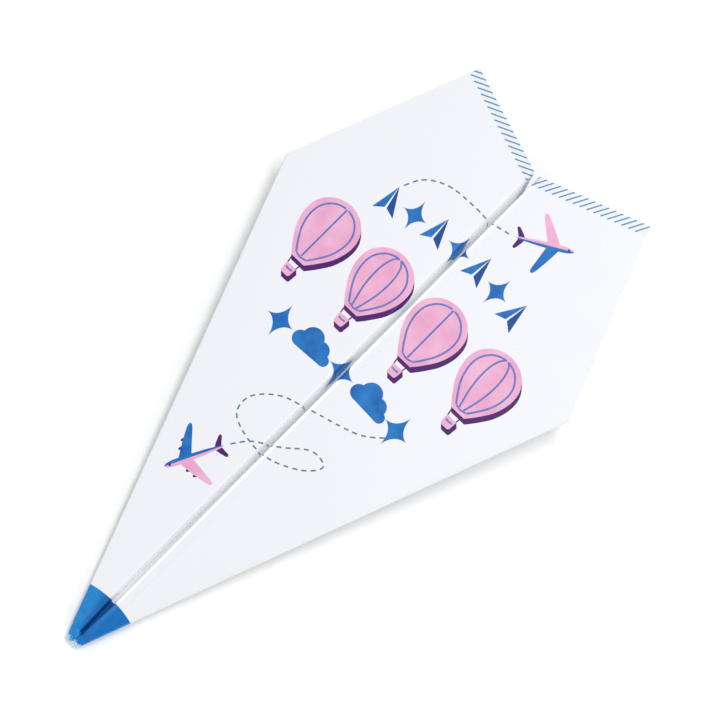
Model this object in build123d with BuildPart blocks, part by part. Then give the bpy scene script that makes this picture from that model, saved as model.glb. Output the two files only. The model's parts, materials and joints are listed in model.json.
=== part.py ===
from build123d import *
from math import atan2, cos, degrees, radians, sin, tan
import os

# A paper plane folded from one blank of printed card. The nose points along -X, the tail along +X
# and the right wing along +Y. It stands on the flat bottom of its keel at Z = 0, and the origin is
# below the middle of its box. Each panel between two creases, and each crease, is one piece.
# Places on the wings are (u, v, w): u runs aft along the wing crease from the nose tip, v outward
# from the middle, and w up from the printed face.

# Driving dimensions, in millimetres
ply = 0.5                  # thickness of one layer of card
nose_half_width = 2.8      # the tip is blunt
outer_corner = (180.5, 71.5)  # u and v where the leading edge fold ends
rear_corner = (253, 43)    # u and v of the wing's tail corner
notch_u = 238              # where the rear edge reaches the middle
flap_u = 151               # where the under layer's rear edge crosses the wing crease
keel_at_nose = 4.5         # height of the wing face over the keel's bottom, at the nose
keel_at_notch = 25         # and at the tail
slot_half_width = 1.1      # half the gap between the two keel panels
crease_radius = 1.3        # outside of the roll from wing to keel
corner_radius = 0.8        # outside of the two corners at the keel's flat bottom
nose_length = 5.0          # the stretch where the layers are pressed into one point
nose_gap = 0.3             # between that point and the panels that move
crease_free_angle = 22     # left open in the roll, so the wing can rise
corner_free_angle = 30     # left open in the right corner, so the keel can spread

# Worked out from them
pitch = degrees(atan2(keel_at_notch - keel_at_nose, notch_u))
rise = sin(radians(pitch))
run = cos(radians(pitch))
lead_angle = degrees(atan2(outer_corner[1] - nose_half_width, outer_corner[0]))
lead_slope = tan(radians(lead_angle))
rear_rake = (rear_corner[0] - notch_u) / rear_corner[1]
flap_rake = (outer_corner[0] - flap_u) / outer_corner[1]
crease_v = slot_half_width + crease_radius
panel_start = nose_length + nose_gap
lead_end_u = outer_corner[0] + ply * sin(radians(lead_angle))
keel_half_width = slot_half_width + ply
corner_y = keel_half_width - corner_radius
nose_x = -(rear_corner[0] * run + ply * rise) / 2

# The printed face of the wings, and the upright plane through the middle. Both have their own x
# along the crease, and the second one's y is w.
wing_plane = Plane(origin=(nose_x, 0, keel_at_nose), x_dir=(run, 0, rise), z_dir=(-rise, 0, run))
side_plane = Plane(origin=wing_plane.origin, x_dir=wing_plane.x_dir, z_dir=(0, -1, 0))


def lead_v(u):
    """The wing panel's leading edge, one ply inside the rounded edge of the fold."""
    return nose_half_width - ply / cos(radians(lead_angle)) + u * lead_slope


def depth_at(u, height):
    """The w of the point at this u that stands this high over the keel's bottom."""
    return (height - keel_at_nose - u * rise) / run


def raked_foot(top_u, rake):
    """Where an edge that leaves the crease at top_u and leans forward meets the keel's corner."""
    fall = crease_radius + (corner_radius - keel_at_nose) / run
    foot_u = (top_u + rake * fall) / (1 + rake * rise / run)
    return foot_u, depth_at(foot_u, corner_radius)


def wing_layer(side, below, corners):
    """A flat layer of one wing: its corners in u and v, and how far it lies under the face."""
    with BuildPart() as layer:
        with BuildSketch(wing_plane.offset(-below)):
            with BuildLine():
                Polyline([(u, side * v) for u, v in corners], close=True)
            make_face()
        extrude(amount=-ply)
    return layer


def keel_layer(side, inner_y, top_rear_u, rake):
    """A flat layer of one half of the keel, from its face nearest the middle outward."""
    with BuildPart() as layer:
        with BuildSketch(side_plane.offset(-side * inner_y)):
            with BuildLine():
                Polyline(
                    (panel_start, -crease_radius),
                    (top_rear_u, -crease_radius),
                    raked_foot(top_rear_u, rake),
                    (panel_start, depth_at(panel_start, corner_radius)),
                    close=True,
                )
            make_face()
        extrude(amount=-side * ply)
    return layer


def rolled_layer(side, outer_radius, length):
    """The roll of one layer about the wing crease, from the wing almost down to the keel."""
    centre = wing_plane.from_local_coords(Vector(panel_start, side * crease_v, -crease_radius))
    section = Plane(origin=centre, x_dir=(0, 1, 0), z_dir=wing_plane.x_dir)
    sweep_angle = side * (90 - crease_free_angle)
    with BuildPart() as layer:
        with BuildSketch(section):
            with BuildLine():
                outer = CenterArc((0, 0), outer_radius, 90, sweep_angle)
                inner = CenterArc((0, 0), outer_radius - ply, 90, sweep_angle)
                Line(outer @ 0, inner @ 0)
                Line(outer @ 1, inner @ 1)
            make_face()
        extrude(amount=length)
    return layer


def leading_fold(side):
    """The half-round edge that joins the wing panel to the flap under it."""
    start_u = panel_start + ply
    foot = Vector(start_u, side * lead_v(start_u), -ply)
    along = Vector(cos(radians(lead_angle)), side * sin(radians(lead_angle)), 0)
    outward = Vector(-sin(radians(lead_angle)), side * cos(radians(lead_angle)), 0)
    origin = wing_plane.from_local_coords(foot)
    section = Plane(
        origin=origin,
        x_dir=wing_plane.from_local_coords(foot + outward) - origin,
        z_dir=wing_plane.from_local_coords(foot + along) - origin,
    )
    with BuildPart() as fold:
        with BuildSketch(section):
            with BuildLine():
                CenterArc((0, 0), ply, -90, 180)
                Line((0, ply), (0, -ply))
            make_face()
        extrude(amount=(lead_end_u - start_u) / cos(radians(lead_angle)))
    return fold


def save(piece, name):
    piece.part.label = name
    export_step(piece.part, f"parts/{name}.step")


os.makedirs("parts", exist_ok=True)

panel_corners = [
    (panel_start, crease_v),
    (panel_start, lead_v(panel_start)),
    (lead_end_u, lead_v(lead_end_u)),
    rear_corner,
    (notch_u + crease_v * rear_rake, crease_v),
]
flap_corners = panel_corners[:3] + [(flap_u + crease_v * flap_rake, crease_v)]

for side, hand in ((1, "right"), (-1, "left")):
    save(wing_layer(side, 0, panel_corners), f"{hand}_wing")
    save(wing_layer(side, ply, flap_corners), f"{hand}_wing_flap")
    save(leading_fold(side), f"{hand}_leading_fold")
    save(rolled_layer(side, crease_radius, notch_u - panel_start), f"{hand}_wing_crease")
    save(rolled_layer(side, crease_radius - ply, flap_u - panel_start), f"{hand}_flap_crease")
    save(keel_layer(side, slot_half_width, notch_u, rear_rake), f"{hand}_keel")
    save(keel_layer(side, keel_half_width, flap_u, flap_rake), f"{hand}_keel_flap")

# The bottom strip joins the two halves of the keel, with a rounded corner on each side. The right
# corner stops short of its panel, because that half of the keel swings out about the corner.
fold_start = wing_plane.from_local_coords(Vector(panel_start, 0, depth_at(panel_start, 0)))
fold_end = side_plane.from_local_coords(Vector(*raked_foot(notch_u, rear_rake), 0))
inner_radius = corner_radius - ply
with BuildPart() as keel_fold:
    with BuildSketch(Plane(origin=(fold_start.X, 0, 0), x_dir=(0, 1, 0), z_dir=(1, 0, 0))):
        with BuildLine():
            left_outer = CenterArc((-corner_y, corner_radius), corner_radius, 180, 90)
            right_outer = CenterArc((corner_y, corner_radius), corner_radius, 270, 90 - corner_free_angle)
            right_inner = CenterArc((corner_y, corner_radius), inner_radius, 270, 90 - corner_free_angle)
            left_inner = CenterArc((-corner_y, corner_radius), inner_radius, 180, 90)
            Line(left_outer @ 1, right_outer @ 0)
            Line(right_outer @ 1, right_inner @ 1)
            Line(right_inner @ 0, left_inner @ 1)
            Line(left_inner @ 0, left_outer @ 0)
        make_face()
    extrude(amount=fold_end.X - fold_start.X)
keel_fold.part.label = "keel_fold"
export_step(keel_fold.part, "parts/keel_fold.step")

# At the tip all the layers are pressed into one stiff point: a blunt wedge with the keel under it.
tip_round = 0.8
tip_half_width = nose_half_width - tip_round
nose_rear_v = nose_half_width + nose_length * lead_slope
with BuildPart() as nose_point:
    with BuildSketch(wing_plane):
        with BuildLine():
            Polyline(
                (0, -tip_half_width),
                (0, tip_half_width),
                (tip_round, nose_half_width),
                (nose_length, nose_rear_v),
                (nose_length, -nose_rear_v),
                (tip_round, -nose_half_width),
                close=True,
            )
        make_face()
    extrude(amount=-2 * ply)
    with BuildSketch(side_plane):
        with BuildLine():
            Polyline(
                (tip_round, -ply),
                (tip_round, depth_at(tip_round, keel_at_nose / 3)),
                (2 * tip_round, depth_at(2 * tip_round, 0)),
                (nose_length, depth_at(nose_length, 0)),
                (nose_length, -ply),
                close=True,
            )
        make_face()
    extrude(amount=keel_half_width + ply, both=True)
nose_point.part.label = "nose_point"
export_step(nose_point.part, "parts/nose_point.step")
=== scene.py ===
import json
import math

import bmesh
import bpy
from mathutils import Matrix, Vector, noise
from mathutils.geometry import delaunay_2d_cdt


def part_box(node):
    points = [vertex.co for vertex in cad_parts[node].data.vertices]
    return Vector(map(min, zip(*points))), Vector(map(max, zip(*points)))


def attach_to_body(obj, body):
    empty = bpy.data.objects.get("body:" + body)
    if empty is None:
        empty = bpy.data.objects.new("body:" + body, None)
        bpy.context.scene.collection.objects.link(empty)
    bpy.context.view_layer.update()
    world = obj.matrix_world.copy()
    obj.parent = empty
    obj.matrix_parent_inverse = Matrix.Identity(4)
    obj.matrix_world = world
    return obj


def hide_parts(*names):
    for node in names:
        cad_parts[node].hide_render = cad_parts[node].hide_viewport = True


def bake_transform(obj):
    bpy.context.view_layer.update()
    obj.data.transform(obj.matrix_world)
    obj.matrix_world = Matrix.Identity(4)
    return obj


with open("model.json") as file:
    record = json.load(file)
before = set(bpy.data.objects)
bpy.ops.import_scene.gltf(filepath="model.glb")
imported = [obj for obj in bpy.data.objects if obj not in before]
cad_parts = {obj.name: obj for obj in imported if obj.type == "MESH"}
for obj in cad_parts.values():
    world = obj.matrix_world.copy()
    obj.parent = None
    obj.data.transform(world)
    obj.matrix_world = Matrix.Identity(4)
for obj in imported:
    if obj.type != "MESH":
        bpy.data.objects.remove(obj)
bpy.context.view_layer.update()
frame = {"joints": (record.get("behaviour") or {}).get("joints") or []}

# A paper plane folded from one blank of coated, printed card. Every layer of card is drawn flat, as
# on the blank, in millimetres: u runs aft along a wing crease from the nose, and q runs outward from
# the middle of the plane, over the wing, or inward down the crease and the keel, where it goes below
# zero. The flat drawing is then bent into place. Face A of the card is the printed one: it is the top
# of the wings and the inside of the slot, and, past the leading edge, the underside of the flaps.
# A side is 1 for the right half of the plane, towards +Y, and -1 for the left half.

MM = 0.001

# -------------------- sizes, in millimetres
PLY = 0.5                     # thickness of one layer of card
NOSE_HALF_WIDTH = 2.8         # the tip is blunt
OUTER_CORNER = (180.5, 71.5)  # where the leading edge fold ends
REAR_CORNER = (253, 43)       # the wing's tail corner
NOTCH_U = 238                 # where the rear edge reaches the middle
FLAP_U = 151                  # where the under layer's rear edge crosses the wing crease
SLOT_HALF_WIDTH = 1.1         # half the gap between the two keel panels
CREASE_RADIUS = 1.3           # outside of the roll from wing to keel
CORNER_RADIUS = 0.8           # outside of the two corners at the keel's flat bottom
PANEL_START = 5.3             # the panels begin here, behind the pressed nose
NOSE_POINT_END = 5.295        # and the nose ends just short of them
BOX_INSET = 0.01              # keeps the outermost edges inside the frame's own box
EDGE_SOFTNESS = 0.06          # how far a cut edge of the card is rounded over
GRID_STEP = 6.0               # the longest stretch between two points on a panel's edge

LEAD_ANGLE = math.atan2(OUTER_CORNER[1] - NOSE_HALF_WIDTH, OUTER_CORNER[0])
LEAD_SLOPE = math.tan(LEAD_ANGLE)
REAR_RAKE = (REAR_CORNER[0] - NOTCH_U) / REAR_CORNER[1]
FLAP_RAKE = (OUTER_CORNER[0] - FLAP_U) / OUTER_CORNER[1]
CREASE_V = SLOT_HALF_WIDTH + CREASE_RADIUS
KEEL_TOP_Q = CREASE_V - CREASE_RADIUS * math.pi / 2
KEEL_HALF_WIDTH = SLOT_HALF_WIDTH + PLY
CORNER_Y = KEEL_HALF_WIDTH - CORNER_RADIUS
LEAD_END_U = OUTER_CORNER[0] + PLY * math.sin(LEAD_ANGLE)
TOP_PLY = (0, PLY)  # the depths of a layer's two faces under the wing's top
UNDER_PLY = (PLY, 2 * PLY)

# -------------------- the frame's crease line
joints = {joint["name"]: joint for joint in frame["joints"]}
wing_hinge = joints["right_wing_fold"]
RUN, RISE = abs(wing_hinge["axis"][0]), abs(wing_hinge["axis"][2])
NOSE_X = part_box("nose_point")[0].x / MM
HINGE_X, HINGE_Z = wing_hinge["pos_m"][0] / MM, wing_hinge["pos_m"][2] / MM
NOSE_Z = HINGE_Z + (CREASE_RADIUS - RISE * (HINGE_X - NOSE_X)) / RUN


def place(u, y, w):
    """A point u along the crease, y to the right and w over the wing face, in metres."""
    x = NOSE_X + u * RUN - w * RISE
    z = NOSE_Z + u * RISE + w * RUN
    return Vector((x, y, z)) * MM


def depth_at(u, height):
    """The w of the point at this u that stands this high over the keel's bottom."""
    return (height - NOSE_Z - u * RISE) / RUN


def lead_v(u):
    """The flat wing's leading edge, where the rounded fold begins."""
    return NOSE_HALF_WIDTH - PLY / math.cos(LEAD_ANGLE) + u * LEAD_SLOPE


def rear_u(q):
    """Where the blank's rear edge is, at this q."""
    return NOTCH_U + q * REAR_RAKE


def flap_u(q):
    """Where the folded corner's rear edge is, at this q."""
    return FLAP_U + q * FLAP_RAKE


def keel_bottom_q(u):
    """Where the keel panel meets its rounded bottom corner."""
    return depth_at(u, CORNER_RADIUS) + CREASE_RADIUS + KEEL_TOP_Q


def keel_foot(edge_u):
    """Where a rear edge that crosses the keel meets its bottom, as (u, q), found by halving."""
    low, high = PANEL_START, NOTCH_U
    for _ in range(40):
        middle = (low + high) / 2
        if edge_u(keel_bottom_q(middle)) > middle:
            low = middle
        else:
            high = middle
    return low, keel_bottom_q(low)


# -------------------- how the flat card is bent
PINCH = 0.6                         # the two halves are pressed together at the nose
PINCH_REACH = 16                    # and have come apart this far behind it
PINCH_SPREAD = 4                    # the wing takes the pinch up over this width
RIDGE_HEIGHT = {1: 0.14, -1: 0.34}  # the card swells beside the crease near the nose
RIDGE_OUT = 2.4                     # the swelling is highest this far out
RIDGE_REACH = 45                    # and fades aft over this length
SCORE_DEPTH = {1: 0.1, -1: 0.3}     # a pressed line that runs beside the crease
SCORE_Q = 4.3
SCORE_HALF_WIDTH = 0.55
SCORE_START = 14                    # the line fades in from here
SCORE_FADE = 14
BOW = {1: 0.5, -1: 0.35}            # each wing droops a little towards its outer corner
BOW_LENGTH = 300
RIPPLE_HEIGHT = 0.16                # slow waves in the card
RIPPLE_LENGTH = 60
RIPPLE_WIDTH = 45


def ease(t):
    """Goes smoothly from 0 to 1 as t does."""
    t = min(max(t, 0), 1)
    return t * t * (3 - 2 * t)


def pinch(u):
    """How far each half is pressed towards the middle."""
    return PINCH * (1 - ease((u - PANEL_START) / PINCH_REACH))


def warp(side, u, q):
    """How far the card stands off a flat wing."""
    out = max(q - CREASE_V, 0) / RIDGE_OUT
    ridge = RIDGE_HEIGHT[side] * out * math.exp(1 - out) * math.exp(-u / RIDGE_REACH)
    valley = -0.5 * ridge * min(out / 3, 1.5)
    bow = -BOW[side] * (max(q, 0) / OUTER_CORNER[1]) ** 2 * math.sin(math.pi * u / BOW_LENGTH)
    score = -SCORE_DEPTH[side] * math.exp(-((q - SCORE_Q) / SCORE_HALF_WIDTH) ** 2)
    score *= math.exp(-u / RIDGE_REACH) * ease((u - SCORE_START) / SCORE_FADE)
    waves = noise.noise(Vector((u / RIPPLE_LENGTH, side * q / RIPPLE_WIDTH, 3.1 * side)))
    return ridge + valley + bow + score + RIPPLE_HEIGHT * waves * min(out / 4, 1)


def on_wing(side, u, q, depth):
    """A point of a wing panel, this deep under face A."""
    reach = min(PINCH_SPREAD, lead_v(u) - CREASE_V)
    drawn_in = pinch(u) * max(1 - (q - CREASE_V) / reach, 0)
    return place(u, side * (q - drawn_in), warp(side, u, q) - depth)


def on_roll(side, u, q, depth):
    """A point of a wing crease, a quarter turn from the wing down into the slot."""
    angle = (CREASE_V - q) / CREASE_RADIUS
    radius = CREASE_RADIUS - depth
    y = CREASE_V - pinch(u) - radius * math.sin(angle)
    return place(u, side * y, radius * math.cos(angle) - CREASE_RADIUS)


def on_keel(side, u, q, depth):
    """A point of an upright keel panel."""
    return place(u, side * (SLOT_HALF_WIDTH - pinch(u) + depth), q - KEEL_TOP_Q - CREASE_RADIUS)


def on_leading_fold(side, u, q, depth):
    """Here u is the place along the wing's edge, and q the way round the fold, from top to bottom."""
    angle = q / PLY
    out = (PLY - depth) * math.sin(angle) - BOX_INSET
    edge = lead_v(u)
    w = (PLY - depth) * math.cos(angle) - PLY + warp(side, u, edge)
    return place(u - out * math.sin(LEAD_ANGLE), side * (edge + out * math.cos(LEAD_ANGLE)), w)


def on_keel_fold(side, u, q, depth):
    """Across the keel's bottom: q is 0 in the middle, and bends up round each corner."""
    radius = CORNER_RADIUS - PLY + depth
    turn = max(abs(q) - CORNER_Y, 0) / CORNER_RADIUS
    y = (min(abs(q), CORNER_Y) + radius * math.sin(turn)) * (1 - pinch(u) / KEEL_HALF_WIDTH)
    z = CORNER_RADIUS - radius * math.cos(turn)
    return Vector((NOSE_X + u * RUN, math.copysign(y, q), z)) * MM


# -------------------- outlines for the print
def arc(centre, radius, start, end, steps=24):
    """Points round part of a circle, with angles in degrees."""
    angles = [math.radians(start + (end - start) * i / steps) for i in range(steps + 1)]
    return [(centre[0] + radius * math.cos(a), centre[1] + radius * math.sin(a)) for a in angles]


def disc(centre, radius, steps=24):
    return arc(centre, radius, 0, 360, steps)[:-1]


def smooth(points, steps=8):
    """A smooth curve through the points (Catmull-Rom)."""
    last = len(points) - 1
    made = []
    for i in range(last):
        a, b, c, d = (points[min(max(i + k, 0), last)] for k in (-1, 0, 1, 2))
        for k in range(steps):
            t = k / steps
            made.append(tuple(
                0.5 * (2 * b[j] + (c[j] - a[j]) * t + (2 * a[j] - 5 * b[j] + 4 * c[j] - d[j]) * t**2
                       + (3 * b[j] - a[j] - 3 * c[j] + d[j]) * t**3)
                for j in (0, 1)
            ))
    return made + [points[-1]]


def stroke(points, width):
    """A line drawn with a pen of this width, as one outline."""
    left, right = [], []
    for i, point in enumerate(points):
        before, after = points[max(i - 1, 0)], points[min(i + 1, len(points) - 1)]
        along = Vector(after) - Vector(before)
        across = Vector((-along.y, along.x)).normalized() * width / 2
        left.append((point[0] + across.x, point[1] + across.y))
        right.append((point[0] - across.x, point[1] - across.y))
    return left + right[::-1]


def dashes(points, width, dash, gap):
    """The curve through the points as separate short strokes of even length."""
    curve = smooth(points, steps=64)
    made, piece, travelled = [], [], 0.0
    for a, b in zip(curve, curve[1:]):
        if travelled % (dash + gap) < dash:
            piece.append(a)
        elif len(piece) > 2:
            made.append(stroke([piece[0], piece[len(piece) // 2], piece[-1]], width))
            piece = []
        travelled += math.dist(a, b)
    return made


def mirrored(half):
    """A closed outline from its right half, which starts and ends on the middle line."""
    return half + [(-x, y) for x, y in reversed(half) if abs(x) > 1e-6]


def put(outlines, centre, turn=0.0, scale=1.0):
    """Moves outlines drawn upright about (0, 0) onto the plane: up is aft, right is to the left wing."""
    c, s = math.cos(math.radians(turn)), math.sin(math.radians(turn))
    made = []
    for ink, outline in outlines:
        points = [((x * c - y * s) * scale, (x * s + y * c) * scale) for x, y in outline]
        made.append((ink, [(centre[0] + y, centre[1] - x) for x, y in points]))
    return made


def swept(outline, shift):
    """The outlines that a shape covers as it slides by shift."""
    moved = [(x + shift[0], y + shift[1]) for x, y in outline]
    made = [moved]
    for i in range(len(outline)):
        j = (i + 1) % len(outline)
        made.append([outline[i], outline[j], moved[j], moved[i]])
    return made


def clipped(outline, level):
    """The part of an outline with q above the level, with points added where it crosses."""
    made = []
    for a, b in zip(outline, outline[1:] + outline[:1]):
        if a[1] > level:
            made.append(a)
        if (a[1] - level) * (b[1] - level) < 0:
            made.append((a[0] + (b[0] - a[0]) * (level - a[1]) / (b[1] - a[1]), level))
    return made


# -------------------- the shapes in the print
# Each is a list of (ink, outline), drawn upright about (0, 0). The inks are named under materials.
SHADE = (1.5, -1.5)  # how far a balloon's drop shade slides


def balloon(gores):
    """A hot-air balloon with a drop shade, in a 23 by 35 mm box. The gores are shares of its width."""
    half = [(0, 17), (6.2, 15.3), (10.4, 10.8), (11.4, 5), (9.7, -1.6), (6.2, -7.2), (3.2, -11.0)]
    steps = 8
    edge = smooth([(-6.2, 15.3)] + half, steps)[steps:]
    envelope = mirrored(edge)
    basket = [(2.3, -13.9), (2.0, -17.4), (1.5, -18.0), (-1.5, -18.0), (-2.0, -17.4), (-2.3, -13.9)]
    made = [("purple", outline) for outline in swept(envelope, SHADE) + swept(basket, SHADE)]
    made += [("purple", stroke([(x, -10.8), (x * 0.8, -14.1)], width=0.5)) for x in (-2.5, 2.5)]
    made.append(("pink", envelope))
    made.append(("pink", basket))
    middle = 2.4
    for share in gores:
        line = [(x * share, middle + (y - middle) * 0.86) for x, y in edge[1:]]
        made.append(("lilac", stroke(line, width=0.75)))
    rims = [[(-2.3, -9.1), (0, -9.6), (2.3, -9.1)], [(-1.5, -15.4), (0, -15.6), (1.5, -15.4)]]
    made += [("lilac", stroke(smooth(rim), width=0.7)) for rim in rims]
    return made


def dart():
    """A little folded dart seen from above, lit from one side."""
    right = [(0, 5.2), (3.7, -4.4), (0.35, -2.6)]
    left = [(0, 5.2), (-0.35, -2.6), (-3.7, -4.4)]
    return [("deep_blue", right), ("blue", left)]


def sparkle():
    """A star of four points with hollow sides, which grow more hollow with the power."""
    half_width, half_height, power, steps = 4.6, 5.8, 3.6, 48
    outline = []
    for i in range(steps):
        angle = math.radians(360 * i / steps)
        x, y = math.cos(angle), math.sin(angle)
        outline.append((half_width * math.copysign(abs(x)**power, x),
                        half_height * math.copysign(abs(y)**power, y)))
    return [("blue", outline)]


def cloud():
    """A small flat-bottomed cloud."""
    puffs = [((-3.6, -0.6), 2.3), ((-0.9, 1.5), 3.2), ((2.7, 0.2), 2.7), ((5.2, -1.3), 1.6)]
    made = [("blue", disc(centre, radius)) for centre, radius in puffs]
    made.append(("blue", [(-3.6, -2.9), (5.2, -2.9), (5.2, -1.0), (-3.6, -0.5)]))
    return made


def airliner(engines):
    """A plain airliner from above, nose up: one half of it blue and the other pink."""
    fuselage = [(0, -11), (0.5, -9.6), (1.0, -4), (1.3, 4.4), (1.25, 8.4), (0.9, 10.6), (0.4, 11.5),
                (0, 11.7)]
    wing = [(0.7, 6.3), (6.0, 3.0), (10.6, -0.2), (11.7, -1.2), (12.0, -2.1), (11.4, -2.6), (10.2, -2.4),
            (4.5, -0.2), (0.7, 1.2)]
    tail = [(0.3, -7.4), (1.8, -8.3), (4.1, -10.2), (4.4, -11.0), (3.7, -11.4), (0.3, -10.0)]
    windscreen = [(-0.75, 9.3), (-0.45, 10.2), (0.45, 10.2), (0.75, 9.3)]
    pods = [(4.2, 3.9), (6.9, 2.15)][: engines // 2]
    pod_half_width, pod_half_length = 0.65, 1.1
    made = []
    for sign, ink in ((1, "blue"), (-1, "pink")):
        for outline in (fuselage, wing):
            made.append((ink, [(sign * x, y) for x, y in outline]))
        made.append(("purple", [(sign * x, y) for x, y in tail]))
        for x, y in pods:
            pod = [(sign * x + pod_half_width * a, y + pod_half_length * b) for a, b in disc((0, 0), 1, 14)]
            made.append(("purple", pod))
    made.append(("deep_blue", windscreen))
    return made


# -------------------- the print on the blank
BAND_DEPTH = 4.2                 # the hatched band along the rear edges
STRIPE_PITCH = 2.76
STRIPE_WIDTH = 0.5
STRIPE_TURN = math.radians(43)   # from the edge to a stripe
STRIPE_OFFSET = 0.6              # a share of the pitch
NOSE_ARC_CENTRE = (-19.3, -0.5)  # the blue nose ends at part of a circle, a little off the middle
NOSE_ARC_RADIUS = 40
RUN_ON_Q = 0.9                   # beyond this the art runs straight on down the slot's wall
RUN_ON_V = -0.8                  # and this is the last of it
RUN_ON_STRETCH = 6.0


def arched_row(shapes, count, u, v, pitch, arch, lean, scale):
    """A row of two shapes in turn across the plane, from the right: it bends forward towards its ends."""
    made = []
    for i in range(count):
        here = v - pitch * i
        made += put(shapes[i % 2](), (u - arch * here**2, here), turn=lean * here, scale=scale)
    return made


def plan_print():
    """All the art that is laid out over the whole plane, as (ink, outline) with points (u, v)."""
    made = []
    for i in range(4):
        gores = (-0.78, -0.3, 0.3, 0.78) if i % 2 else (-0.78, 0, 0.78)
        made += put(balloon(gores), (165.8, 40.4 - 27 * i))
    made += arched_row((dart, sparkle), 7, u=198.3, v=31.6, pitch=10.3, arch=0.0042, lean=0.35, scale=1.2)
    made += arched_row((sparkle, cloud), 5, u=136.4, v=29, pitch=14.6, arch=0.0022, lean=0.2, scale=1.35)
    made += put(airliner(engines=4), (78, 16), turn=-206.4)
    made += put(airliner(engines=0), (221.2, -20), turn=-61, scale=0.96)
    short_trail = [(201.7, 32), (208.5, 28), (213, 19.5), (213.8, 7.7), (213.6, 0), (215.6, -10)]
    loop_trail = [(130, -28.4), (124, -20), (118.4, -1.4), (114.6, 9.7), (106.8, 17.2), (98.8, 15.7),
                  (95.2, 4.7), (96, -5.3), (101.3, -15.8), (107.2, -19.9), (108.3, -12.9), (101.5, -3.9),
                  (95.7, 5.2), (88.8, 10.6)]
    for trail in (short_trail, loop_trail):
        made += [("slate", outline) for outline in dashes(trail, width=0.6, dash=2.1, gap=1.25)]
    return made


def band_print(side):
    """The hatched band along one half's rear edge, which runs on straight down the crease and keel."""
    foot = Vector((NOTCH_U, 0))
    along = Vector((REAR_CORNER[0] - NOTCH_U, REAR_CORNER[1])).normalized()
    inward = Vector((-along.y, along.x)) * BAND_DEPTH
    down, out = foot - 30 * along, foot + 60 * along
    made = [("pale", [tuple(p) for p in (down, out, out + inward, down + inward)])]
    slant = BAND_DEPTH / math.tan(STRIPE_TURN) * side
    for i in range(-9, 17):
        start = foot + along * (STRIPE_PITCH * (i + STRIPE_OFFSET))
        line = [tuple(start), tuple(start + along * slant + inward)]
        made.append(("slate", stroke(line, STRIPE_WIDTH)))
    return made


def nose_print(side, ink="nose"):
    """The blue end of one half, with points (u, q)."""
    centre = (NOSE_ARC_CENTRE[0], side * NOSE_ARC_CENTRE[1])
    return [(ink, [(-30, -40)] + arc(centre, NOSE_ARC_RADIUS, -60, 60, 60) + [(-30, 40)])]


def nose_end_u(side):
    """Where the blue ends on the leading edge, closed in on from the nose."""
    u = 0
    for _ in range(8):
        off_centre = lead_v(u) - side * NOSE_ARC_CENTRE[1]
        u = NOSE_ARC_CENTRE[0] + math.sqrt(NOSE_ARC_RADIUS**2 - off_centre**2)
    return u


def run_on(outline):
    """The strip of an outline that goes past the crease, stretched down the wall."""
    strip = [(u, -q) for u, q in clipped(outline, RUN_ON_V)]
    strip = [(u, -q) for u, q in clipped(strip, -RUN_ON_Q)]
    return [(u, RUN_ON_Q + (q - RUN_ON_Q) * RUN_ON_STRETCH) for u, q in strip]


# -------------------- materials
PRINT_EXPOSURE = 0.827                     # the studio light is bright, so the print is this much darker
SHEET_SPACING = 40                         # the two halves lie this far out on the sheet of the textures
SLOT_GLOW = ((0.97, 0.98, 1.0, 1), 0.096)  # painted light: emission colour and strength on the slot's bare walls
SLOT_INK_GLOW = {                          # and the painted light in the inks there
    "slate": ((0.5, 0.7, 1, 1), 0.13),
    "purple": ((0.6, 0.1, 1, 1), 0.04),
    "blue": ((0, 0.45, 1, 1), 0.11),
    "deep_blue": ((0, 0.45, 1, 1), 0.09),
}


def tone(red, green, blue):
    """A colour given in 8-bit values, as the linear one that a shader takes."""
    return tuple(PRINT_EXPOSURE * (c / 255) ** 2.2 for c in (red, green, blue)) + (1.0,)


def shader_of(material):
    return material.node_tree.nodes["Principled BSDF"]


def card_place(material):
    """Where a point lies on the flat blank, in millimetres."""
    made = material.node_tree.nodes.new("ShaderNodeUVMap")
    made.uv_map = "card"
    return made.outputs["UV"]


def noise_at(material, where, scale, detail=2.0, roughness=0.5):
    made = material.node_tree.nodes.new("ShaderNodeTexNoise")
    made.inputs["Scale"].default_value = scale
    made.inputs["Detail"].default_value = detail
    made.inputs["Roughness"].default_value = roughness
    material.node_tree.links.new(where, made.inputs["Vector"])
    return made.outputs["Fac"]


def ranged(material, value, source=(0, 1), target=(0, 1)):
    """Maps a value from the source range onto the target range."""
    made = material.node_tree.nodes.new("ShaderNodeMapRange")
    for socket, number in zip(("From Min", "From Max", "To Min", "To Max"), source + target):
        made.inputs[socket].default_value = number
    material.node_tree.links.new(value, made.inputs["Value"])
    return made


def mix_into_ink(material, factor, colour, ink_socket, colour_socket):
    """Mixes a colour into the material's ink, with each on the named socket of the mix."""
    links = material.node_tree.links
    base = shader_of(material).inputs["Base Color"]
    mixed = material.node_tree.nodes.new("ShaderNodeMix")
    mixed.data_type = "RGBA"
    mixed.inputs[colour_socket].default_value = colour
    links.new(factor, mixed.inputs["Factor"])
    links.new(base.links[0].from_socket, mixed.inputs[ink_socket])
    links.new(mixed.outputs["Result"], base)


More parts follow.
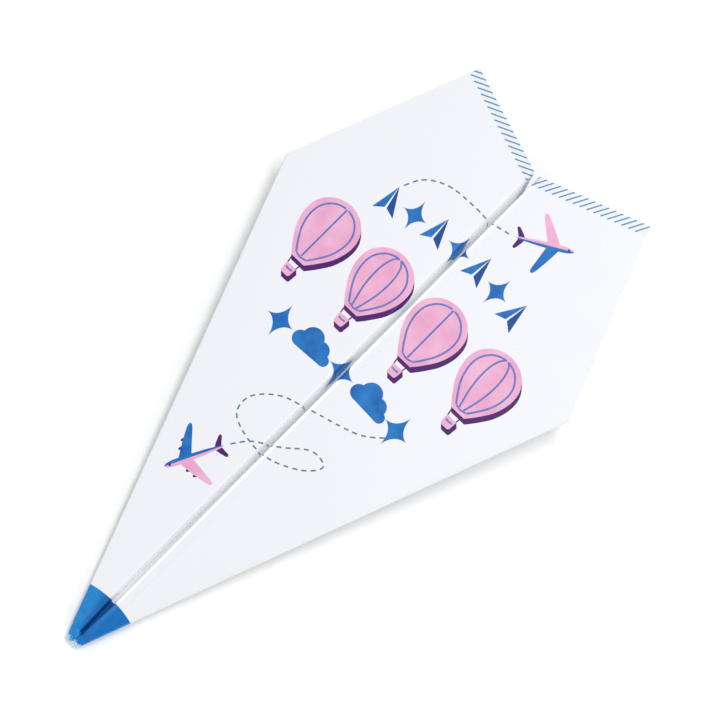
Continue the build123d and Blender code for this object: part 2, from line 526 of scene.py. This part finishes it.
def new_material(name, roughness, bump, tooth, tones, drift=1.4, specular=0.45):
    """Card or ink that drifts a little between two tones, with fine tooth in the surface."""
    made = bpy.data.materials.new(name)
    made.use_nodes = True
    nodes, links = made.node_tree.nodes, made.node_tree.links
    shader = shader_of(made)
    shader.inputs["Specular IOR Level"].default_value = specular
    where = card_place(made)
    ramp = nodes.new("ShaderNodeValToRGB")
    for stop, position, colour in zip(ramp.color_ramp.elements, (0.3, 0.7), tones):
        stop.position = position
        stop.color = colour
    links.new(noise_at(made, where, drift, detail=6), ramp.inputs["Fac"])
    links.new(ramp.outputs["Color"], shader.inputs["Base Color"])
    cloudy = noise_at(made, where, scale=0.06)
    gloss = ranged(made, cloudy, target=(roughness - 0.06, roughness + 0.06))
    links.new(gloss.outputs["Result"], shader.inputs["Roughness"])
    bumps = nodes.new("ShaderNodeBump")
    bumps.inputs["Strength"].default_value = bump
    bumps.inputs["Distance"].default_value = 0.02 * MM
    links.new(noise_at(made, where, tooth, detail=3), bumps.inputs["Height"])
    links.new(bumps.outputs["Normal"], shader.inputs["Normal"])
    return made


def new_ink(name, roughness, tones, drift=1.4, specular=0.2):
    """A printed ink: smoother than the bare card, with the card's own tooth."""
    return new_material(name, roughness, 0.2, 3.0, tones, drift, specular)


def wear_tip(material):
    """Where the tip is pressed and rubbed, flecks of pale coat show through the ink."""
    nodes, links = material.node_tree.nodes, material.node_tree.links
    parts = nodes.new("ShaderNodeSeparateXYZ")
    links.new(card_place(material), parts.inputs["Vector"])
    rubbed = ranged(material, parts.outputs["X"], source=(4.2, 0.1), target=(-0.32, 0.15))
    solid = nodes.new("ShaderNodeTexCoord")
    scuff = noise_at(material, solid.outputs["Object"], scale=420, detail=5, roughness=0.65)
    total = nodes.new("ShaderNodeMath")
    links.new(rubbed.outputs["Result"], total.inputs[0])
    links.new(scuff, total.inputs[1])
    fleck = ranged(material, total.outputs["Value"], source=(0.46, 0.62))
    mix_into_ink(material, fleck.outputs["Result"], tone(188, 226, 244), ink_socket="A", colour_socket="B")


def paint_light_beside_crease(material, side, colour, near, far):
    """Painted light beside the crease: a darker tone for painted shade or a lighter one for a painted
    highlight, over a width that grows from near at the tip to far at the arc.
    """
    nodes, links = material.node_tree.nodes, material.node_tree.links
    middle = side * SHEET_SPACING
    parts = nodes.new("ShaderNodeSeparateXYZ")
    links.new(card_place(material), parts.inputs["Vector"])
    width = ranged(material, parts.outputs["X"], source=(PANEL_START, NOSE_ARC_CENTRE[0] + NOSE_ARC_RADIUS),
                   target=(middle + near, middle + far))
    share = ranged(material, parts.outputs["Y"], source=(middle + SLOT_HALF_WIDTH, 1))
    share.interpolation_type = "SMOOTHSTEP"
    links.new(width.outputs["Result"], share.inputs["From Max"])
    mix_into_ink(material, share.outputs["Result"], colour, ink_socket="B", colour_socket="A")


def glow(material, colour, strength):
    """Painted light: an emission that brightens the surfaces in the slot, standing in part for the light
    that comes through the card.
    """
    shader = shader_of(material)
    shader.inputs["Emission Color"].default_value = colour
    shader.inputs["Emission Strength"].default_value = strength


def card_materials():
    """The card's own surfaces: face A; face A in the slot, a lighter copy that also glows, which is painted
    light; face B; and a cut edge.
    """
    made = {
        "card": new_material("coated_card", 0.42, 0.25, 3.0, (tone(239, 241, 246), tone(244, 245, 249))),
        # painted light: face A in the slot is a lighter copy of the card, and it glows
        "inside": new_material("card_painted_slot_light", 0.55, 0.25, 3.0,
                               ((0.92, 0.925, 0.935, 1), (0.93, 0.935, 0.945, 1))),
        "back": new_material("card_back", 0.75, 0.5, 2.2, (tone(232, 231, 229), tone(240, 239, 237))),
        "core": new_material("card_core", 0.9, 0.8, 5.0, (tone(222, 220, 214), tone(243, 242, 238)),
                             drift=4.0, specular=0.2),
    }
    glow(made["inside"], *SLOT_GLOW)
    return made


def ink_materials():
    """The inks of the art and the band, with copies that glow with painted light for those that go down the
    slot.
    """
    made = {
        "pale": new_ink("pale_ink", 0.40, (tone(228, 239, 248), tone(232, 242, 251)), specular=0.45),
        "slate": new_ink("slate_ink", 0.38, (tone(78, 112, 150), tone(98, 130, 164))),
        "purple": new_ink("purple_ink", 0.36, (tone(72, 22, 102), tone(82, 30, 114)), 0.6),
        "pink": new_ink("pink_ink", 0.38, (tone(234, 160, 200), tone(244, 186, 216)), 0.12, 0.3),
        "lilac": new_ink("lilac_ink", 0.37, (tone(96, 112, 184), tone(116, 132, 198)), 0.5),
        "blue": new_ink("blue_ink", 0.36, (tone(20, 92, 176), tone(42, 128, 200)), 0.16, 0.18),
        "deep_blue": new_ink("deep_blue_ink", 0.36, (tone(18, 72, 146), tone(24, 82, 158)), 0.3, 0.18),
    }
    # painted light: the copies for the slot glow
    for ink, (colour, strength) in SLOT_INK_GLOW.items():
        copy = made[ink].copy()
        copy.name = f"{ink}_ink_in_slot"
        glow(copy, colour, strength)
        made[f"{ink}_in_slot"] = copy
    return made


def nose_materials():
    """The blue end: plain; the left half a darker copy, which is painted shade; painted shade beside the
    right crease and a painted highlight beside the left one; a darker copy down in the slot, painted shade
    with a little painted light glowing in it; and worn at the tip.
    """
    right = (tone(32, 126, 199), tone(44, 142, 213))
    # painted shade: the left half's blue is a darker copy of the right half's
    left = (tone(14, 104, 182), tone(22, 116, 196))
    # painted shade: the blue down in the slot is a darker copy
    deep = (tone(6, 70, 138), tone(12, 80, 150))
    made = {
        "nose": new_material("nose_ink", 0.26, 0.3, 2.0, right, 0.5, 0.22),
        "nose_left": new_material("nose_ink_left_painted_shade", 0.28, 0.3, 2.0, left, 0.5, 0.2),
        "nose_right": new_material("nose_ink_right_painted_crease_shade", 0.26, 0.3, 2.0, right, 0.5, 0.22),
        "nose_slot_painted_shade": new_material("nose_ink_painted_slot_shade", 0.5, 0.3, 2.0, deep, 0.5, 0.15),
        "nose_worn": new_material("worn_nose_ink", 0.26, 0.6, 1.2, right, 0.5, 0.22),
        "nose_worn_left": new_material("worn_nose_ink_left", 0.28, 0.6, 1.2, left, 0.5, 0.2),
    }
    wear_tip(made["nose_worn"])
    wear_tip(made["nose_worn_left"])
    # painted shade beside the right crease, and a painted highlight beside the left one
    paint_light_beside_crease(made["nose_right"], 1, tone(14, 92, 164), near=2.9, far=6.2)
    paint_light_beside_crease(made["nose_left"], -1, tone(44, 130, 206), near=2.2, far=4.4)
    # painted light: that dark copy also glows a little
    glow(made["nose_slot_painted_shade"], tone(0, 76, 146), 0.22)
    return made


materials = card_materials() | ink_materials() | nose_materials()

# the order in which the inks cover each other, with the one on top last
PRIORITY = ["pale", "slate", "purple", "pink", "lilac", "blue", "deep_blue",
            "nose", "nose_left", "nose_right", "nose_slot_painted_shade"]


# -------------------- how a piece of card is made
def counter_clockwise(outline):
    area = sum(a[0] * b[1] - b[0] * a[1] for a, b in zip(outline, outline[1:] + outline[:1]))
    return outline if area > 0 else outline[::-1]


def subdivided(corners):
    """A panel's outline with points no further apart than GRID_STEP."""
    made = []
    for (a, _), (b, _) in zip(corners, corners[1:] + corners[:1]):
        count = max(1, math.ceil(math.dist(a, b) / GRID_STEP))
        made += [tuple(a[k] + (b[k] - a[k]) * i / count for k in (0, 1)) for i in range(count)]
    return made


def reaches(outline, low, high):
    """Whether an outline's box meets the box from low to high."""
    return all(min(p[k] for p in outline) < high[k] and max(p[k] for p in outline) > low[k] for k in (0, 1))


def flat_mesh(corners, prints, lines, loose):
    """Cuts a flat panel into triangles along its print. Gives points, triangles and their inks."""
    outline = counter_clockwise(subdivided(corners))
    low = [min(p[k] for p in outline) for k in (0, 1)]
    high = [max(p[k] for p in outline) for k in (0, 1)]
    points, faces, inks = list(outline), [list(range(len(outline)))], [None]
    for ink, shape in prints:
        if reaches(shape, low, high):
            faces.append(list(range(len(points), len(points) + len(shape))))
            points += counter_clockwise(shape)
            inks.append(ink)
    edges = []
    for a, b in lines:
        edges.append((len(points), len(points) + 1))
        points += [a, b]
    points += [p for p in loose if low[0] < p[0] < high[0] and low[1] < p[1] < high[1]]
    inside_shapes, tolerance, keep_sources = 1, 1e-5, True
    made = delaunay_2d_cdt([Vector(p) for p in points], edges, faces, inside_shapes, tolerance, keep_sources)
    flat_points, all_triangles, all_sources = made[0], made[2], made[5]
    triangles, found = [], []
    for triangle, sources in zip(all_triangles, all_sources):
        if 0 in sources:               # the first face is the panel itself
            ranked = [PRIORITY.index(inks[s]) for s in sources if inks[s]]
            triangles.append(triangle)
            found.append(PRIORITY[max(ranked)] if ranked else None)
    return flat_points, triangles, found


def cut_edges(corners):
    """For each cut edge of a panel: its two ends and its outward direction."""
    centre = Vector((sum(c[0][0] for c in corners), sum(c[0][1] for c in corners))) / len(corners)
    made = []
    for (a, cut), (b, _) in zip(corners, corners[1:] + corners[:1]):
        if cut:
            a, b = Vector(a), Vector(b)
            out = Vector((b.y - a.y, a.x - b.x)).normalized()
            made.append((a, b, out if out.dot((a + b) / 2 - centre) > 0 else -out))
    return made


def edge_shift(point, cuts):
    """How far a point on a cut edge is drawn in, so that the edge is soft."""
    near = 1e-3
    outs = []
    for a, b, out in cuts:
        along = (b - a).normalized()
        offset = point - a
        if abs(offset.dot(out)) < near and -near < offset.dot(along) < (b - a).length + near:
            outs.append(out)
    if not outs:
        return Vector((0, 0))
    if len(outs) == 1:
        return outs[0] * EDGE_SOFTNESS
    return (outs[0] + outs[1]) * EDGE_SOFTNESS / (1 + outs[0].dot(outs[1]))


def edges_of(triangle):
    a, b, c = triangle
    return (a, b), (b, c), (c, a)


def rim_edges(triangles):
    """The edges with a triangle on one side only, each in its triangle's direction."""
    used = {}
    for triangle in triangles:
        for edge in edges_of(triangle):
            key = tuple(sorted(edge))
            used[key] = None if key in used else edge
    return [edge for edge in used.values() if edge]


def face_materials(ink, faces, bend):
    """What covers a triangle's two faces: the back of the card is bare, apart from the blue nose."""
    if ink and ink.startswith("nose"):
        return ink, "nose"
    first, second = (name if name == "back" else ink or name for name in faces)
    # painted light: an ink that runs down the keel takes its glowing copy
    if bend is on_keel and ink in SLOT_INK_GLOW:
        first = f"{ink}_in_slot"
    return first, second


def mesh_object(mesh, flat, name, slots, sharp_angle):
    """Makes a mesh an object, with its materials and each point's place on the flat sheet."""
    sheet = mesh.loops.layers.uv.new("card")
    for face in mesh.faces:
        face.smooth = True
        for loop in face.loops:
            loop[sheet].uv = flat[loop.vert]
    data = bpy.data.meshes.new(name)
    mesh.to_mesh(data)
    mesh.free()
    for slot_name in slots:
        data.materials.append(materials[slot_name])
    data.set_sharp_from_angle(angle=math.radians(sharp_angle))
    piece = bpy.data.objects.new(name, data)
    bpy.context.scene.collection.objects.link(piece)
    return piece


def card_piece(name, side, bend, corners, depths, prints, faces=("card", "back"), lines=(), loose=()):
    """One panel of card, from its flat outline: corners are ((u, q), True where a cut edge follows)."""
    points, triangles, inks = flat_mesh(corners, prints, lines, loose)
    rim = rim_edges(triangles)
    on_rim = sorted({i for edge in rim for i in edge})
    cuts = cut_edges(corners)
    still = Vector((0, 0))
    shift = {i: edge_shift(points[i], cuts) for i in on_rim}
    mesh = bmesh.new()
    flat, slots = {}, []

    def vertex(point, depth, pulled):
        made = mesh.verts.new(bend(side, point.x - pulled.x, point.y - pulled.y, depth))
        flat[made] = (point.x + 0.7 * depth, point.y + SHEET_SPACING * side + depth)
        return made

    def face(corner_list, slot_name):
        if slot_name not in slots:
            slots.append(slot_name)
        mesh.faces.new(corner_list).material_index = slots.index(slot_name)

    top = [vertex(p, depths[0], shift.get(i, still)) for i, p in enumerate(points)]
    bottom = [vertex(p, depths[1], shift.get(i, still)) for i, p in enumerate(points)]
    upper = {i: vertex(points[i], depths[0] + EDGE_SOFTNESS, still) for i in on_rim}
    lower = {i: vertex(points[i], depths[1] - EDGE_SOFTNESS, still) for i in on_rim}
    rim_ink = {}
    for (a, b, c), ink in zip(triangles, inks):
        over, under = face_materials(ink, faces, bend)
        face((top[a], top[b], top[c]), over)
        face((bottom[c], bottom[b], bottom[a]), under)
        rim_ink.update({edge: ink for edge in edges_of((a, b, c))})
    for a, b in rim:
        ink = rim_ink[(a, b)]
        wall = "nose" if ink and ink.startswith("nose") else "core"
        over = wall if faces[0] == "back" else ink or faces[0]
        face((top[b], top[a], upper[a], upper[b]), over)
        face((upper[b], upper[a], lower[a], lower[b]), wall)
        face((lower[b], lower[a], bottom[a], bottom[b]), wall)
    off_panel = [v for v in mesh.verts if not v.link_faces]
    bmesh.ops.delete(mesh, geom=off_panel, context="VERTS")
    bmesh.ops.recalc_face_normals(mesh, faces=mesh.faces)
    return mesh_object(mesh, flat, name, slots, sharp_angle=32)


def attach(piece, body, node):
    """A rigid panel rides on its body and stands for its plain solid."""
    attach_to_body(piece, body)
    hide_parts(node)


def attach_between(piece, node):
    """A crease's piece is baked into place where it stands, and takes the place of its plain solid."""
    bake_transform(piece)
    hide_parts(node)


# -------------------- the panels and creases
CLOSE_ROWS = [CREASE_V + 0.3 * i for i in range(1, 14)]
FAR_ROWS = [6.9, 7.7, 8.8, 10.8, 14, 18.5, 24, 30, 36, 42, 48, 54, 60, 66]
LEAD_CLEARANCE = 0.6             # between the loose points and the leading edge
FOLD_START = PANEL_START + 0.18  # the leading fold clears the nose
FOLD_DEPTH = 0.96 * PLY          # it stays off its own centre line, so the inside stays open


def panel_grid():
    """Loose points that let the wing follow its warp: close together beside the crease."""
    stations = [7 + 4 * i for i in range(62)]
    return [(u, q) for u in stations for q in CLOSE_ROWS + FAR_ROWS if q < lead_v(u) - LEAD_CLEARANCE]


def roll_lines(u_end, count):
    """Lines along a wing crease, close enough together to look round."""
    rows = [CREASE_V + (KEEL_TOP_Q - CREASE_V) * i / count for i in range(1, count)]
    return [((PANEL_START - 1, q), (u_end + 5, q)) for q in rows]


def raked_panel(edge_u, top_q, rear_foot, front_foot, cut_below=False):
    """Corners of a panel that ends at a raked cut edge, from its top in front round to its front foot."""
    return [((PANEL_START, top_q), False), ((edge_u(top_q), top_q), True),
            (rear_foot, cut_below), (front_foot, False)]


def build_wing(side, hand, prints):
    """A wing's top panel, and the folded corner under its front."""
    front = [((PANEL_START, CREASE_V), False), ((PANEL_START, lead_v(PANEL_START)), False),
             ((LEAD_END_U, lead_v(LEAD_END_U)), True)]
    rear = [((REAR_CORNER[0] - BOX_INSET, REAR_CORNER[1] - BOX_INSET), True),
            ((rear_u(CREASE_V), CREASE_V), False)]
    wing = card_piece(f"{hand}_wing_card", side, on_wing, front + rear, TOP_PLY, prints, loose=panel_grid())
    attach(wing, f"{hand}_wing", f"{hand}_wing")
    flap_corners = front + [((flap_u(CREASE_V), CREASE_V), False)]
    flap = card_piece(f"{hand}_wing_flap_card", side, on_wing, flap_corners, UNDER_PLY, nose_print(side),
                      faces=("back", "card"), loose=panel_grid())
    attach(flap, f"{hand}_wing", f"{hand}_wing_flap")


def build_leading_fold(side, hand):
    """The rounded edge that joins a wing's top panel to the corner folded under it."""
    half_turn = math.pi * PLY
    corners = [((FOLD_START, 0), False), ((FOLD_START, half_turn), False),
               ((LEAD_END_U, half_turn), False), ((LEAD_END_U, 0), False)]
    blue_end = nose_end_u(side)
    blue = [("nose", [(-30, -5), (blue_end, -5), (blue_end, 8), (-30, 8)])]
    rows = [half_turn * i / 10 for i in range(1, 10)]
    fold = card_piece(f"{hand}_leading_fold_card", side, on_leading_fold, corners, (0, FOLD_DEPTH), blue,
                      lines=[((0, q), (200, q)) for q in rows])
    attach(fold, f"{hand}_wing", f"{hand}_leading_fold")


def build_creases(side, hand, prints):
    """The rolls from wing to keel: the top layer's, and the folded corner's inside it."""
    front_foot = (PANEL_START, KEEL_TOP_Q)
    # painted highlight: the left roll's face A is the lighter, glowing slot card, so that its edge shows
    # bright
    roll = card_piece(f"{hand}_wing_crease_card", side, on_roll,
                      raked_panel(rear_u, CREASE_V, (rear_u(KEEL_TOP_Q), KEEL_TOP_Q), front_foot),
                      TOP_PLY, prints, faces=("card" if side > 0 else "inside", "back"),
                      lines=roll_lines(NOTCH_U, 12))
    under = card_piece(f"{hand}_flap_crease_card", side, on_roll,
                       raked_panel(flap_u, CREASE_V, (flap_u(KEEL_TOP_Q), KEEL_TOP_Q), front_foot),
                       UNDER_PLY, nose_print(side), faces=("back", "card"), lines=roll_lines(FLAP_U, 8))
    attach_between(roll, f"{hand}_wing_crease")
    attach_between(under, f"{hand}_flap_crease")


def build_keel(side, hand, keel_body, prints):
    """An upright keel panel, and the part of the folded corner that lies on it."""
    front_foot = (PANEL_START, keel_bottom_q(PANEL_START))
    # painted light: the keel's face A is the lighter, glowing slot card
    keel = card_piece(f"{hand}_keel_card", side, on_keel,
                      raked_panel(rear_u, KEEL_TOP_Q, keel_foot(rear_u), front_foot),
                      TOP_PLY, prints, faces=("inside", "back"))
    attach(keel, keel_body, f"{hand}_keel")
    flap = card_piece(f"{hand}_keel_flap_card", side, on_keel,
                      raked_panel(flap_u, KEEL_TOP_Q, keel_foot(flap_u), front_foot, cut_below=True),
                      UNDER_PLY, nose_print(side), faces=("back", "card"))
    attach(flap, keel_body, f"{hand}_keel_flap")


def build_half(side, hand, keel_body):
    """All that one half of the blank is folded into, apart from the keel's bottom and the nose."""
    art = [(ink, [(u, side * v) for u, v in outline]) for ink, outline in plan_print()]
    band = band_print(side)
    # the blue carries the painted shade and highlight beside the crease, and the left half's painted shade
    blue = nose_print(side, f"nose_{hand}")
    on_crease = [(ink, clipped(outline, RUN_ON_Q)) for ink, outline in art]
    down_the_wall = [(ink, run_on(outline)) for ink, outline in art]
    on_crease, down_the_wall = (
        [shape for shape in shapes if len(shape[1]) > 2] for shapes in (on_crease, down_the_wall)
    )
    build_wing(side, hand, art + band + blue)
    build_leading_fold(side, hand)
    build_creases(side, hand, on_crease + down_the_wall + band + blue)
    # painted shade: the keel's blue is the darker, glowing slot blue
    build_keel(side, hand, keel_body, down_the_wall + band + blue + nose_print(side, "nose_slot_painted_shade"))


def build_keel_fold():
    """The flat strip along the keel's bottom, with a rounded corner on either side."""
    half = CORNER_Y + CORNER_RADIUS * math.pi / 2
    end = keel_foot(rear_u)[0]
    corners = [((PANEL_START, -half), False), ((end, -half), True), ((end, half), False),
               ((PANEL_START, half), False)]
    rows = [sign * (CORNER_Y + (half - CORNER_Y) * i / 6) for sign in (1, -1) for i in range(6)]
    # painted shade: the strip's blue is the darker, glowing slot blue
    strip = card_piece("keel_fold_card", 1, on_keel_fold, corners, TOP_PLY, nose_print(1, "nose_slot_painted_shade"),
                       lines=[((0, q), (260, q)) for q in rows])
    attach_between(strip, "keel_fold")


# -------------------- the pressed nose
TIP_SQUEEZE = 0.42       # how far the layers thin out at the very tip
TIP_SQUEEZE_LENGTH = 0.6
TIP_RINGS = 33
TONGUE_STEPS = 13
TONGUE_LENGTH = 3.6
TONGUE_OVERLAP = 0.3     # how far the tongue starts inside the nose
TONGUE_TOP = -1.2        # its w in front, from where it slopes down
TONGUE_CLEARANCE = 0.04  # between it and the walls of the slot
TONGUE_END_HEIGHT = 0.7  # over the keel's bottom
TONGUE_FLOOR_HEIGHT = 0.55


def straight(a, b, count):
    """Points from a up to, but not at, b."""
    return [(a[0] + (b[0] - a[0]) * i / count, a[1] + (b[1] - a[1]) * i / count) for i in range(count)]


def rounding(u, radius):
    """1 at the very tip, and 0 where a quarter round of this radius has ended."""
    return 1 - math.sqrt(max(1 - (1 - min(u / radius, 1)) ** 2, 0))


def nose_section(u):
    """One loop round the pressed nose: over the top from right to left, then back under the keel.

    The counts, such as the 36 steps over the top, only set how fine the mesh is.
    """
    flat = lead_v(u) - 0.9 * CORNER_RADIUS * rounding(u, CORNER_RADIUS)
    round_out = PLY * math.cos(LEAD_ANGLE)
    keel_half = KEEL_HALF_WIDTH + PLY - PINCH
    foot = -2 * PLY + (depth_at(u, 0) + 2 * PLY) * ease((u - 0.1) / 1.5)
    corner = min(0.6, (-2 * PLY - foot) * 0.45)
    angles = [math.pi * i / 8 for i in range(9)]
    fold = [(flat + round_out * math.sin(a), PLY * math.cos(a) - PLY) for a in angles]
    under = straight((flat, -2 * PLY), (keel_half, -2 * PLY), 4)[1:]
    under += straight((keel_half, -2 * PLY), (keel_half, foot + corner), 5)
    angles = [math.pi / 2 * i / 5 for i in range(6)]
    under += [(keel_half - corner + corner * math.cos(a), foot + corner - corner * math.sin(a))
              for a in angles]
    over_left = [(-y, w) for y, w in fold + under]
    return straight((flat, 0), (-flat, 0), 36) + over_left + under[::-1] + fold[:0:-1]


def nose_groove(u, y):
    """The fold line that starts behind the tip and opens into the slot."""
    depth = 0.25 * ease((u - 1.0) / 2.0) + 1.5 * ease((u - 3.0) / 2.3) ** 2
    half = 0.3 + 0.48 * ease((u - 2.0) / 3.3)
    return depth * math.exp(-abs(y / half) ** 3)


def crumple(u, y):
    """Small dents where the layers are pressed together at the tip."""
    fade = 1 - ease((u - 2.6) / 2.2)
    broad = noise.noise(Vector((u * 0.75, y * 0.8, 4)))
    sharp = 0.5 - abs(noise.noise(Vector((u * 1.5, y * 1.3, 9))))
    return (0.16 * broad + 0.16 * sharp - 0.07) * fade


def nose_ring(u):
    """The section at u, squeezed and dented at the tip and grooved, as points (u, y, w)."""
    squeeze = TIP_SQUEEZE * rounding(u, TIP_SQUEEZE_LENGTH)
    made = []
    for y, w in nose_section(u):
        upper = max(1 + w / (2 * PLY), 0)      # 1 on the printed face, 0 from two plies down
        in_layers = w > -2.01 * PLY
        squeezed = w + squeeze * (1 - 2 * upper) if in_layers else w
        dent = crumple(u, y) * upper
        swell = warp(1 if y > 0 else -1, u, abs(y) + pinch(u)) * ease(u / NOSE_POINT_END) * upper
        groove = nose_groove(u, y) if w == 0 else 0
        made.append((u + 0.5 * dent * ease(u), y, squeezed + dent + swell - groove))
    return made


def tongue_ring(share):
    """A section of the card that closes the slot in front and slopes down to the keel's bottom."""
    u = NOSE_POINT_END - TONGUE_OVERLAP + TONGUE_LENGTH * share
    top = TONGUE_TOP + (depth_at(u, TONGUE_END_HEIGHT) - TONGUE_TOP) * ease(share) ** 0.8
    half = SLOT_HALF_WIDTH - pinch(u) - TONGUE_CLEARANCE
    floor_w = depth_at(u, TONGUE_FLOOR_HEIGHT)
    section = [(half, top), (0.4 * half, top - 0.2), (-0.4 * half, top - 0.2), (-half, top),
               (-half, floor_w), (half, floor_w)]
    return [(u, y, w) for y, w in section]


def add_ring(mesh, flat, points, u):
    """Adds a ring's points to the mesh, and their places on the flat sheet to flat."""
    lowest = 0.02 * MM
    travelled = 0.0
    ring = []
    for i, (place_u, y, w) in enumerate(points):
        travelled += math.dist(points[i - 1][1:], (y, w)) if i else 0
        made = mesh.verts.new(place(place_u, y, w))
        made.co.z = max(made.co.z, lowest)
        flat[made] = (u, travelled)
        ring.append(made)
    return ring


def join_rings(mesh, rings):
    """A closed skin over a row of rings."""
    count = len(rings[0])
    for a, b in zip(rings, rings[1:]):
        for j in range(count):
            mesh.faces.new((a[j], a[(j + 1) % count], b[(j + 1) % count], b[j]))
    mesh.faces.new(rings[0][::-1])
    mesh.faces.new(rings[-1])


def build_nose():
    """The wedge of pressed layers at the front, and the tongue of card that runs down into the slot."""
    mesh = bmesh.new()
    flat = {}
    stations = [NOSE_POINT_END * (i / TIP_RINGS) ** 1.4 for i in range(TIP_RINGS + 1)]
    join_rings(mesh, [add_ring(mesh, flat, nose_ring(u), u) for u in stations])
    outer_faces = len(mesh.faces)
    tongue = [tongue_ring(i / TONGUE_STEPS) for i in range(TONGUE_STEPS)]
    join_rings(mesh, [add_ring(mesh, flat, points, points[0][0]) for points in tongue])
    slots = ["nose_worn", "nose_worn_left", "nose_slot_painted_shade"]
    # painted shade: the left half of the point takes the darker blue, and the tongue the darker, glowing
    # slot blue
    for i, face in enumerate(mesh.faces):
        face.material_index = 2 if i >= outer_faces else int(face.calc_center_median().y < 0)
    bmesh.ops.triangulate(mesh, faces=[f for f in mesh.faces if len(f.verts) > 4])
    bmesh.ops.recalc_face_normals(mesh, faces=mesh.faces)
    piece = mesh_object(mesh, flat, "nose_point_card", slots, sharp_angle=40)
    attach_between(piece, "nose_point")


build_half(1, "right", "right_keel")
build_half(-1, "left", "root")
build_keel_fold()
build_nose()


# -------------------- floor, light and camera, in metres
CAMERA_TURN = (-52.4, 75.46, 7.1)  # azimuth, elevation and roll, in degrees
CAMERA_AIM = (144.0, -1.7, 15.0)   # x behind the nose, y and z, in millimetres
CAMERA_DISTANCE = 0.976


def build_floor():
    """A plain pale floor, far wider than the plane."""
    made = bpy.data.materials.new("pale_floor")
    made.use_nodes = True
    shader = shader_of(made)
    shader.inputs["Base Color"].default_value = (0.98, 0.98, 0.98, 1)
    shader.inputs["Roughness"].default_value = 0.9
    shader.inputs["Specular IOR Level"].default_value = 0.1
    data = bpy.data.meshes.new("floor")
    reach = 6
    corners = [(-reach, -reach, 0), (reach, -reach, 0), (reach, reach, 0), (-reach, reach, 0)]
    data.from_pydata(corners, [], [(0, 1, 2, 3)])
    data.materials.append(made)
    plane = bpy.data.objects.new("floor", data)
    bpy.context.scene.collection.objects.link(plane)


def softbox(name, position, size, power):
    """A rectangular light that looks at the middle of the floor; its size is along X and Y."""
    light = bpy.data.lights.new(name, "AREA")
    light.shape = "RECTANGLE"
    light.size, light.size_y = size
    light.energy = power
    lamp = bpy.data.objects.new(name, light)
    lamp.location = position
    lamp.rotation_euler = (-Vector(position)).to_track_quat("-Z", "Y").to_euler()
    bpy.context.scene.collection.objects.link(lamp)


def build_world():
    """Even, slightly cool light from all round, and whites that stay white."""
    world = bpy.data.worlds.new("studio")
    world.use_nodes = True
    background = world.node_tree.nodes["Background"]
    background.inputs["Color"].default_value = (0.97, 0.98, 1.0, 1)
    background.inputs["Strength"].default_value = 0.575
    bpy.context.scene.world = world
    bpy.context.scene.view_settings.view_transform = "Standard"


def build_camera():
    """Looks down from ahead of the left wing, with a long lens and a slight roll."""
    azimuth, elevation, roll = (math.radians(a) for a in CAMERA_TURN)
    target = Vector((CAMERA_AIM[0] + NOSE_X, CAMERA_AIM[1], CAMERA_AIM[2])) * MM
    level = math.cos(elevation)
    back = Vector((math.sin(azimuth) * level, -math.cos(azimuth) * level, math.sin(elevation)))
    right = Vector((0, 0, 1)).cross(back).normalized()
    up = back.cross(right)
    turned_right = right * math.cos(roll) + up * math.sin(roll)
    turned_up = up * math.cos(roll) - right * math.sin(roll)
    data = bpy.data.cameras.new("camera")
    data.lens = 135
    data.sensor_width = 36
    eye = bpy.data.objects.new("camera", data)
    rotation = Matrix((turned_right, turned_up, back)).transposed()
    eye.matrix_world = Matrix.Translation(target + back * CAMERA_DISTANCE) @ rotation.to_4x4()
    bpy.context.scene.collection.objects.link(eye)
    bpy.context.scene.camera = eye


build_floor()
softbox("key", (0.30, -0.25, 1.6), (0.8, 0.2), 12.7)
softbox("side", (-0.3, -1.3, 0.9), (1.0, 0.8), 4.75)
softbox("far_side", (-0.4, 0.9, 1.6), (1.0, 0.8), 3.4)
build_world()
build_camera()
